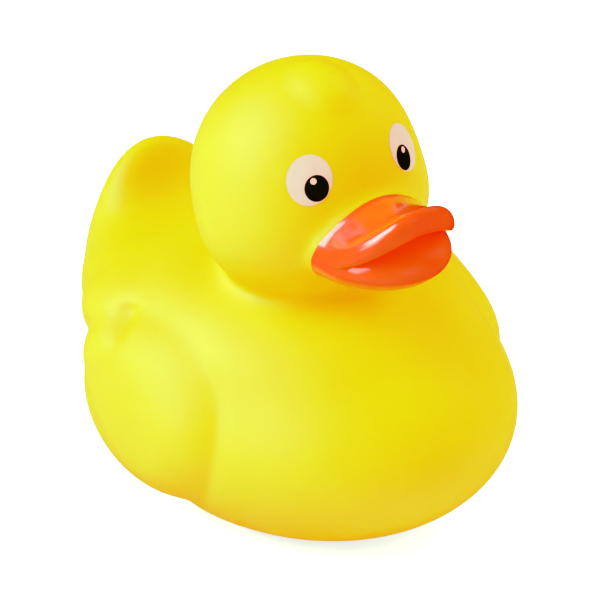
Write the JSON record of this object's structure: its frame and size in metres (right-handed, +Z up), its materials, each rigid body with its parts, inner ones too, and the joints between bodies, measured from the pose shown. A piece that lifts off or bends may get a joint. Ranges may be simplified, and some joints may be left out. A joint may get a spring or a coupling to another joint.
{
  "type": "rubber duck",
  "caption": "Small bath duck moulded in one piece as a hollow skin, with an upturned tail, raised wings, a wide beak and a flat base to stand on.",
  "frame": {"origin": "centre of the bounding box's bottom face, on the flat base", "axes": "+Z up, the duck faces -Y, X = 0 is its plane of symmetry"},
  "size_m": [0.0742, 0.0898, 0.0792],
  "materials": {
    "vinyl": "matte",
    "beak_paint": "gloss",
    "eye_white": "satin",
    "eye_black": "satin"
  },
  "bodies": {
    "root": {"duck_body": "vinyl"}
  },
  "joints": []
}
